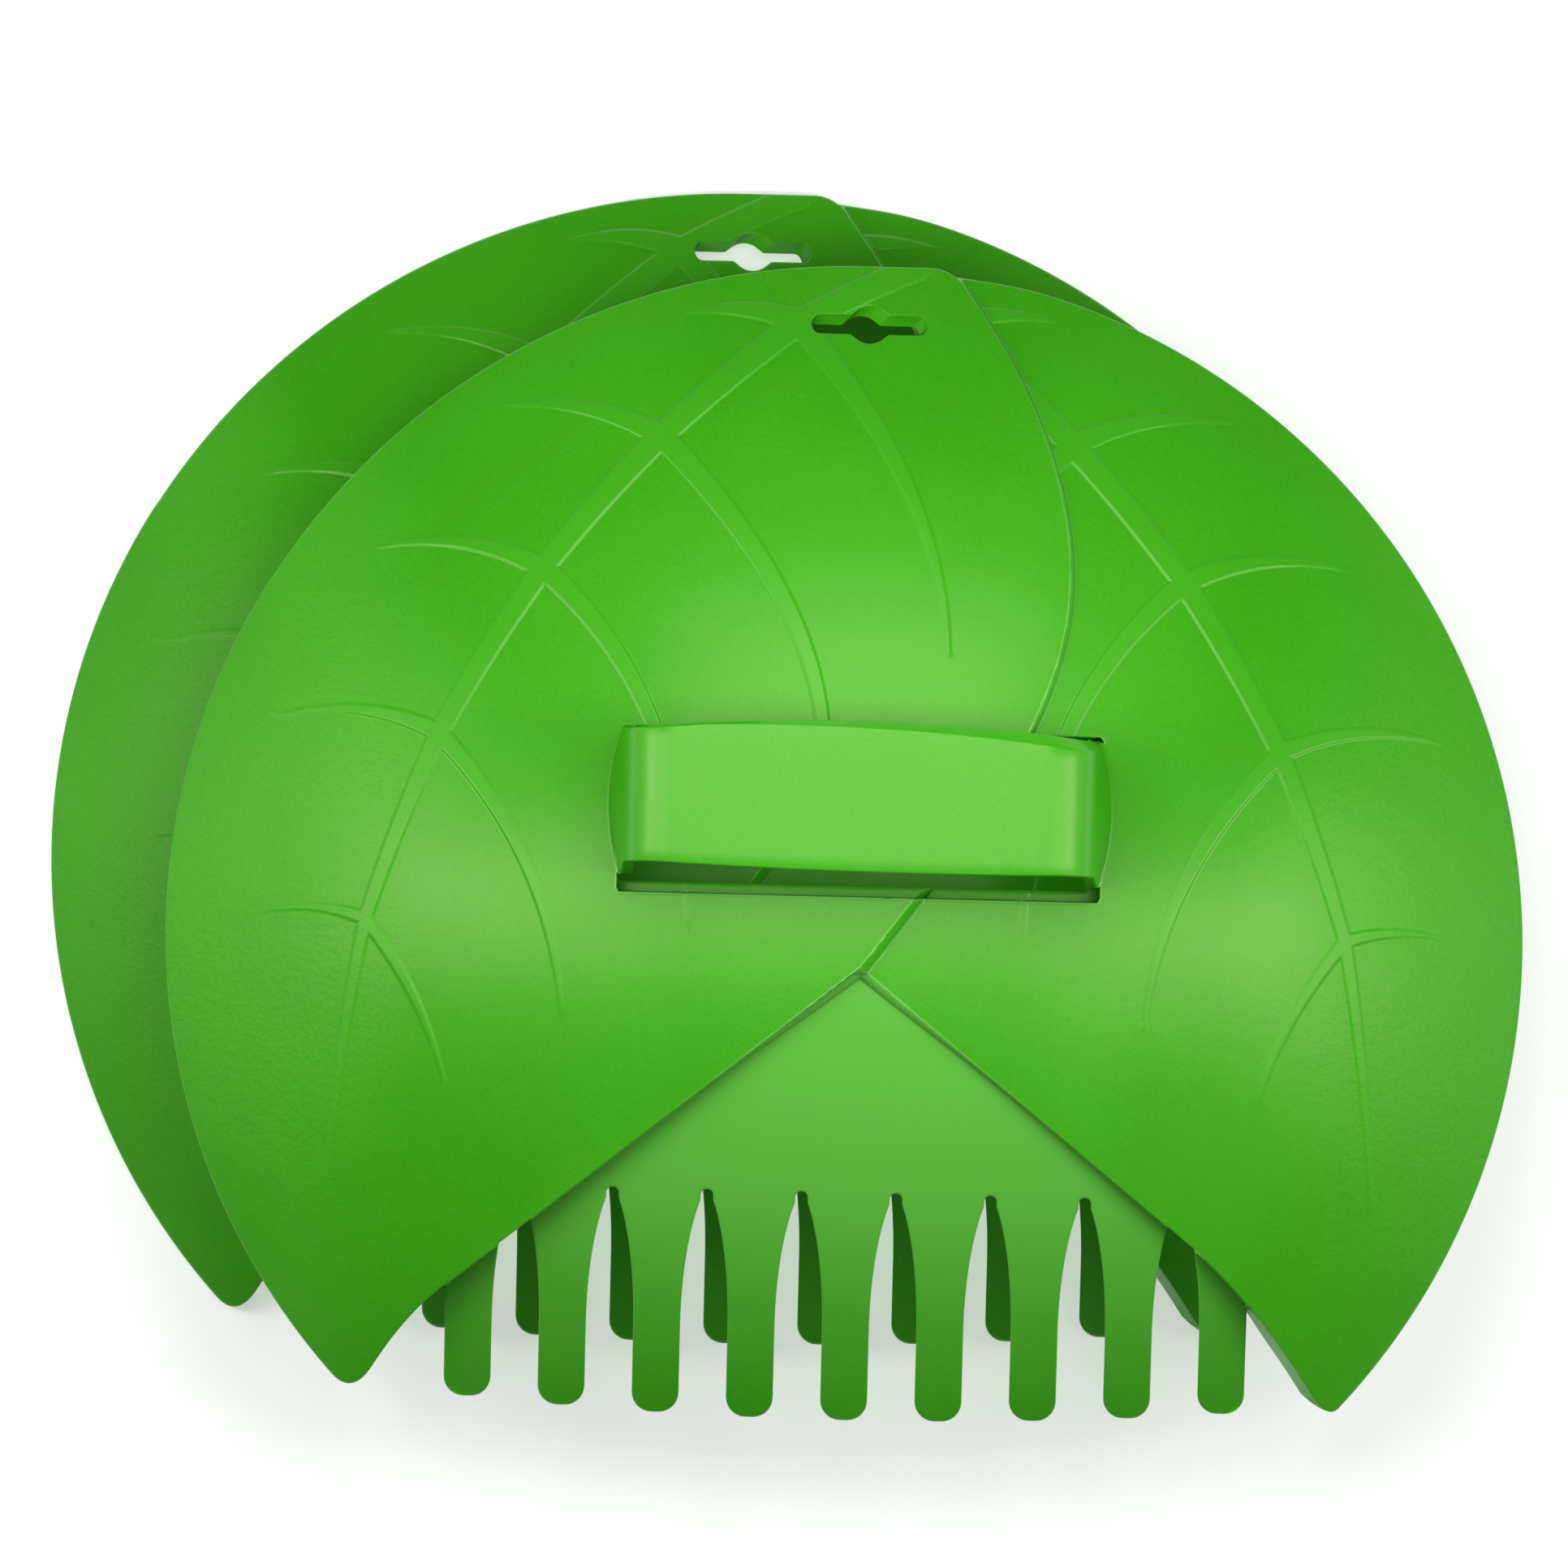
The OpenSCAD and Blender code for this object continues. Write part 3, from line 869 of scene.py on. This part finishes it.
def mark_lines(mesh, plan):
    """Point attributes for the material, which paint the sheen of the veins and the panel and the highlights
    of sharp edges: how much each point is on a vein, a sharp edge's highlight and the panel.
    """
    co = np.empty(len(mesh.vertices) * 3)
    mesh.vertices.foreach_get("co", co)
    co = co.reshape(-1, 3)
    flat = co[:, :2]
    on_left = plan.in_left(flat)
    dome = np.where(on_left, sphere_z(flat, DOME_R + STEP_H), sphere_z(flat, DOME_R))
    over = co[:, 2] - dome
    height = np.where(on_left, vein_height(flat, -1), vein_height(flat, 1)) / VEIN_H
    # the tine panel's painted sheen, full towards +Y and fading out towards the tips
    panel = ~plan.in_lobes(flat) * np.interp(flat[:, 1], PANEL_SHEEN_FADE, [0.0, 1.0])
    on_skin = (over > -STEP_H - 0.8) & (over < 1.0)
    set_attribute(mesh, "vein", height * (np.abs(over) < 2 * VEIN_H))
    # painted highlights along the sharp edges
    set_attribute(mesh, "line", edge_highlights(plan, flat, on_left) * on_skin)
    set_attribute(mesh, "panel", panel)


def set_attribute(mesh, name, values):
    mesh.attributes.new(name, "FLOAT", "POINT").data.foreach_set("value", values)


def edge_highlights(plan, flat, on_left):
    """How much painted highlight is at each point: on the lap, on the V near its apex, and on the slot's rim.
    """
    x, y = flat[:, 0], flat[:, 1]
    s_lap = near(flat, plan.lap)[0] * np.where(on_left, 1, -1)
    s_v = near(flat, plan.v)[0]
    s_slot = near(flat, closed_line(plan.slot))[0] * np.where(inside(flat, plan.slot), -1, 1)
    from_apex = np.hypot(x - V_APEX[0], y - V_APEX[1])
    lap_edge = highlight_mark(s_lap) * np.interp(y, [60, 110, 160], [1.0, 0.5, 0.0])
    lap_foot = highlight_mark(s_lap + lap_draft(y)) * np.interp(y, [40, 90], [1.0, 0.3])
    v_edge = highlight_mark(s_v) * np.interp(from_apex, [15, 75], [1.0, 0.0]) * np.where(x < V_APEX[0], 1.0, 0.6)
    slot_edge = highlight_mark(s_slot - 0.2) * (y < SLOT_C[1])
    return np.max([lap_edge, lap_foot, v_edge, slot_edge], axis=0)


def highlight_mark(s):
    return np.exp(-(s / HIGHLIGHT_W) ** 2)


def scoop_mesh():
    plan = Plan()
    shell = mesh_object("shell", *shell_mesh(plan))
    strap = mesh_object("strap", *strap_mesh())
    mesh = fused("scoop", shell, strap)
    mark_lines(mesh, plan)
    return mesh


# ---------------------------------------------------------------- materials
def node(tree, kind, **values):
    """A new shader node with its inputs set by name."""
    made = tree.nodes.new(kind)
    for key, value in values.items():
        made.inputs[key].default_value = value
    return made


def math_node(tree, operation, a, b):
    made = tree.nodes.new("ShaderNodeMath")
    made.operation = operation
    for socket, value in zip(made.inputs, (a, b)):
        if isinstance(value, (int, float)):
            socket.default_value = value
        else:
            tree.links.new(value, socket)
    return made.outputs[0]


def ramp_node(tree, value, low, high):
    made = tree.nodes.new("ShaderNodeMapRange")
    made.interpolation_type = "SMOOTHSTEP"
    made.inputs["From Min"].default_value = low
    made.inputs["From Max"].default_value = high
    tree.links.new(value, made.inputs["Value"])
    return made.outputs["Result"]


def noise_node(tree, where, scale, detail=3.0, rough=0.5):
    made = node(tree, "ShaderNodeTexNoise", Scale=scale, Detail=detail, Roughness=rough)
    tree.links.new(where, made.inputs["Vector"])
    return made.outputs["Fac"]


def scaled(tree, value, factor, offset):
    return math_node(tree, "ADD", math_node(tree, "MULTIPLY", value, factor), offset)


def mixed(tree, a, b, factor):
    """The colour a, which turns into b as factor goes from 0 to 1; a and b are sockets or plain colours."""
    mix = tree.nodes.new("ShaderNodeMix")
    mix.data_type = "RGBA"
    for socket, value in (("A", a), ("B", b), ("Factor", factor)):
        if isinstance(value, tuple):
            mix.inputs[socket].default_value = (*value, 1)
        else:
            tree.links.new(value, mix.inputs[socket])
    return mix.outputs["Result"]


def marked(tree, name, share=1.0):
    """A point attribute of the mesh, times the share of it that shows."""
    made = tree.nodes.new("ShaderNodeAttribute")
    made.attribute_name = name
    return math_node(tree, "MULTIPLY", made.outputs["Fac"], share)


def own_place(tree, origin):
    """The point's place in its scoop's own frame, in metres."""
    coords = tree.nodes.new("ShaderNodeTexCoord")
    own = tree.nodes.new("ShaderNodeVectorMath")
    own.operation = "SUBTRACT"
    own.inputs[1].default_value = origin
    tree.links.new(coords.outputs["Object"], own.inputs[0])
    return own.outputs[0]


def axis_size(tree, vector, axis):
    """The absolute value of one of a vector's parts."""
    parts = tree.nodes.new("ShaderNodeSeparateXYZ")
    tree.links.new(vector, parts.inputs[0])
    return math_node(tree, "ABSOLUTE", parts.outputs[axis], 0.0)


def plastic_normal(tree, where, zone, blotch):
    """Leather grain in patches on the outer lobes, a trace of it elsewhere, and a slight waviness."""
    cells = tree.nodes.new("ShaderNodeTexVoronoi")
    cells.feature = "SMOOTH_F1"
    cells.inputs["Scale"].default_value = GRAIN_SCALE
    tree.links.new(where, cells.inputs["Vector"])
    fine = noise_node(tree, where, FINE_SCALE, 2.0, 0.6)
    grain = math_node(tree, "ADD", cells.outputs["Distance"], fine)
    patches = scaled(tree, ramp_node(tree, blotch, 0.38, 0.62), 0.6, 0.4)
    strength = scaled(tree, math_node(tree, "MULTIPLY", zone, patches), 0.9, 0.1)
    bump = node(tree, "ShaderNodeBump", Distance=GRAIN_DEPTH)
    tree.links.new(grain, bump.inputs["Height"])
    tree.links.new(strength, bump.inputs["Strength"])
    wave = node(tree, "ShaderNodeBump", Strength=0.25, Distance=WAVE_DEPTH)
    tree.links.new(noise_node(tree, where, WAVE_SCALE, 1.0), wave.inputs["Height"])
    tree.links.new(bump.outputs[0], wave.inputs["Normal"])
    return wave.outputs[0]


def plastic_openness(tree):
    """0 deep between the scoops and under the strap, 1 where the surface is open to the light; it sets the
    painted shade and dims the gloss.
    """
    around = node(tree, "ShaderNodeAmbientOcclusion", Distance=OPEN_REACH)
    around.samples = 4
    return ramp_node(tree, around.outputs["AO"], *OPEN_RANGE)


def plastic_gloss(tree, openness):
    """The specular level, which falls on steep faces and in the depths."""
    face = tree.nodes.new("ShaderNodeNewGeometry")
    flatness = ramp_node(tree, axis_size(tree, face.outputs["Normal"], "Z"), 0.15, 0.75)
    return math_node(tree, "MULTIPLY", scaled(tree, flatness, 0.45, 0.05), openness)


def plastic_colour(tree, where, blotch, openness):
    """Green in slightly uneven tones, with painted sheen on the veins and the panel, painted highlights on
    sharp edges and painted shade in the depths.
    """
    speck = noise_node(tree, where, SPECK_SCALE, 3.0, 0.7)
    tone = math_node(tree, "ADD", scaled(tree, blotch, 0.5, 0.0), scaled(tree, speck, 0.5, 0.0))
    green = mixed(tree, GREEN, LIGHT_GREEN, ramp_node(tree, tone, 0.35, 0.65))
    # painted sheen on the veins
    green = mixed(tree, green, VEIN_SHEEN_GREEN, marked(tree, "vein", VEIN_SHEEN_SHARE))
    # painted sheen on the tine panel
    green = mixed(tree, green, PANEL_SHEEN_GREEN, marked(tree, "panel"))
    # painted highlight along the sharp edges
    green = mixed(tree, green, HIGHLIGHT_GREEN, marked(tree, "line", HIGHLIGHT_SHARE))
    # painted shade: the colour turns dark green where the surface is covered from the light
    return mixed(tree, PAINTED_SHADE_GREEN, green, openness)


def plastic(name, origin):
    """Satin green polypropylene: smooth in the middle, with a fine leather grain on the outer lobes."""
    material = bpy.data.materials.new(name)
    material.use_nodes = True
    tree = material.node_tree
    tree.nodes.clear()
    out = tree.nodes.new("ShaderNodeOutputMaterial")
    surface = node(tree, "ShaderNodeBsdfPrincipled", **{"IOR": 1.49, "Specular Tint": GLOSS_TINT})
    tree.links.new(surface.outputs[0], out.inputs["Surface"])

    where = own_place(tree, origin)
    blotch = noise_node(tree, where, BLOTCH_SCALE, 2.0)
    grain_zone = ramp_node(tree, axis_size(tree, where, "X"), *GRAIN_ZONE)
    openness = plastic_openness(tree)
    rough = math_node(tree, "ADD", scaled(tree, grain_zone, 0.18, 0.25), scaled(tree, blotch, 0.08, 0.0))
    for value, socket in ((plastic_normal(tree, where, grain_zone, blotch), "Normal"),
                          (rough, "Roughness"),
                          (plastic_gloss(tree, openness), "Specular IOR Level"),
                          (plastic_colour(tree, where, blotch, openness), "Base Color")):
        tree.links.new(value, surface.inputs[socket])
    return material


def matte(name, colour, glow):
    material = bpy.data.materials.new(name)
    material.use_nodes = True
    tree = material.node_tree
    surface = tree.nodes["Principled BSDF"]
    surface.inputs["Roughness"].default_value = 0.9
    surface.inputs["Specular IOR Level"].default_value = 0.1
    coords = tree.nodes.new("ShaderNodeTexCoord")
    mix = tree.nodes.new("ShaderNodeMix")
    mix.data_type = "RGBA"
    mix.inputs["A"].default_value = (*[c * 0.99 for c in colour], 1)
    mix.inputs["B"].default_value = (*colour, 1)
    tree.links.new(noise_node(tree, coords.outputs["Object"], 40.0), mix.inputs["Factor"])
    tree.links.new(mix.outputs["Result"], surface.inputs["Base Color"])
    surface.inputs["Emission Color"].default_value = (1, 1, 1, 1)
    surface.inputs["Emission Strength"].default_value = glow
    return material


# ---------------------------------------------------------------- the two scoops
def own_origin(name):
    """A scoop's own origin in the row frame, in metres, from its CAD node's box."""
    low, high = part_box(name)
    x = low.x + (LEFT_LOW_R - LEFT_LOW_C[0]) * MM
    y = high.y - (LEFT_UP_R + LEFT_UP_C[1]) * MM
    return Vector((x, y, low.z))


def place_scoop(source, name, node_name):
    """A copy of the scoop's mesh, placed where its CAD node is."""
    origin = own_origin(node_name)
    data = source.copy()
    co = np.empty(len(data.vertices) * 3)
    data.vertices.foreach_get("co", co)
    co = co.reshape(-1, 3) * MM + np.array(origin)
    data.vertices.foreach_set("co", co.ravel())
    data.shade_smooth()
    data.set_sharp_from_angle(angle=math.radians(SHARP_ANGLE))
    data.materials.clear()
    data.materials.append(plastic("green_plastic_" + name, origin))
    data.update()
    obj = bpy.data.objects.new(name, data)
    bpy.context.scene.collection.objects.link(obj)
    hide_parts(node_name)
    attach(obj, node_name)
    return obj


# ---------------------------------------------------------------- stage
# In metres: half of the floor's side, the height of the points that the lights aim at, and the
# camera's place in plan and the width that it sees; its lens in mm and its turn in degrees
FLOOR_HALF = 6.0
LIGHT_TARGET_Z = 0.1
CAMERA_AT = (-0.0012, 0.0058)
CAMERA_FIELD = 0.4293
CAMERA_LENS = 1200.0
CAMERA_SENSOR = 36.0
CAMERA_TURN = 1.4


def floor():
    mesh = bpy.data.meshes.new("floor")
    half = FLOOR_HALF
    corners = [(-half, -half, 0), (half, -half, 0), (half, half, 0), (-half, half, 0)]
    mesh.from_pydata(corners, [], [(0, 1, 2, 3)])
    obj = bpy.data.objects.new("floor", mesh)
    obj.data.materials.append(matte("pale_floor", (0.93, 0.93, 0.93), 0.5))
    bpy.context.scene.collection.objects.link(obj)


def softbox(name, target, azimuth, tilt, distance, width, height, power):
    """An area light aimed at a point of the front dome; azimuth 0 is +X, and tilt is from the vertical."""
    data = bpy.data.lights.new(name, "AREA")
    data.shape = "RECTANGLE"
    data.size = width
    data.size_y = height
    data.energy = power
    obj = bpy.data.objects.new(name, data)
    a, t = math.radians(azimuth), math.radians(tilt)
    aim = Vector((math.sin(t) * math.cos(a), math.sin(t) * math.sin(a), math.cos(t)))
    obj.location = Vector((*target, LIGHT_TARGET_Z)) + aim * distance
    obj.rotation_euler = aim.to_track_quat("Z", "Y").to_euler()
    obj.visible_camera = False
    bpy.context.scene.collection.objects.link(obj)
    return obj


def world(strength):
    scene_world = bpy.data.worlds.new("studio")
    bpy.context.scene.world = scene_world
    scene_world.use_nodes = True
    back = scene_world.node_tree.nodes["Background"]
    back.inputs["Color"].default_value = (1, 1, 1, 1)
    back.inputs["Strength"].default_value = strength


def camera():
    """Straight above the pair through a very long lens, turned a little about the vertical."""
    data = bpy.data.cameras.new("camera")
    data.lens = CAMERA_LENS
    data.sensor_width = CAMERA_SENSOR
    distance = CAMERA_FIELD * CAMERA_LENS / CAMERA_SENSOR
    data.clip_end = 2 * distance
    obj = bpy.data.objects.new("camera", data)
    obj.location = (*CAMERA_AT, distance)
    obj.rotation_euler = Euler((0, 0, math.radians(CAMERA_TURN)))
    bpy.context.scene.collection.objects.link(obj)
    bpy.context.scene.camera = obj


source = scoop_mesh()
place_scoop(source, "rear_leaf_scoop", "rear_scoop")
place_scoop(source, "front_leaf_scoop", "front_scoop")
floor()
world(0.06)
softbox("overhead", (0.02, 0.01), azimuth=90, tilt=15, distance=0.35, width=0.33, height=0.32, power=1.05)
softbox("left_fill", (-0.16, 0.0), azimuth=165, tilt=60, distance=0.3, width=0.25, height=0.25, power=0.22)
softbox("right_fill", (0.17, 0.0), azimuth=350, tilt=60, distance=0.3, width=0.25, height=0.25, power=0.22)
softbox("left_strip", (-0.092, -0.012), azimuth=176, tilt=41, distance=0.6, width=0.14, height=0.6, power=1.4)
softbox("right_strip", (0.130, -0.05), azimuth=4, tilt=41, distance=0.6, width=0.14, height=0.6, power=1.4)
camera()
bpy.context.scene.view_settings.view_transform = "Standard"
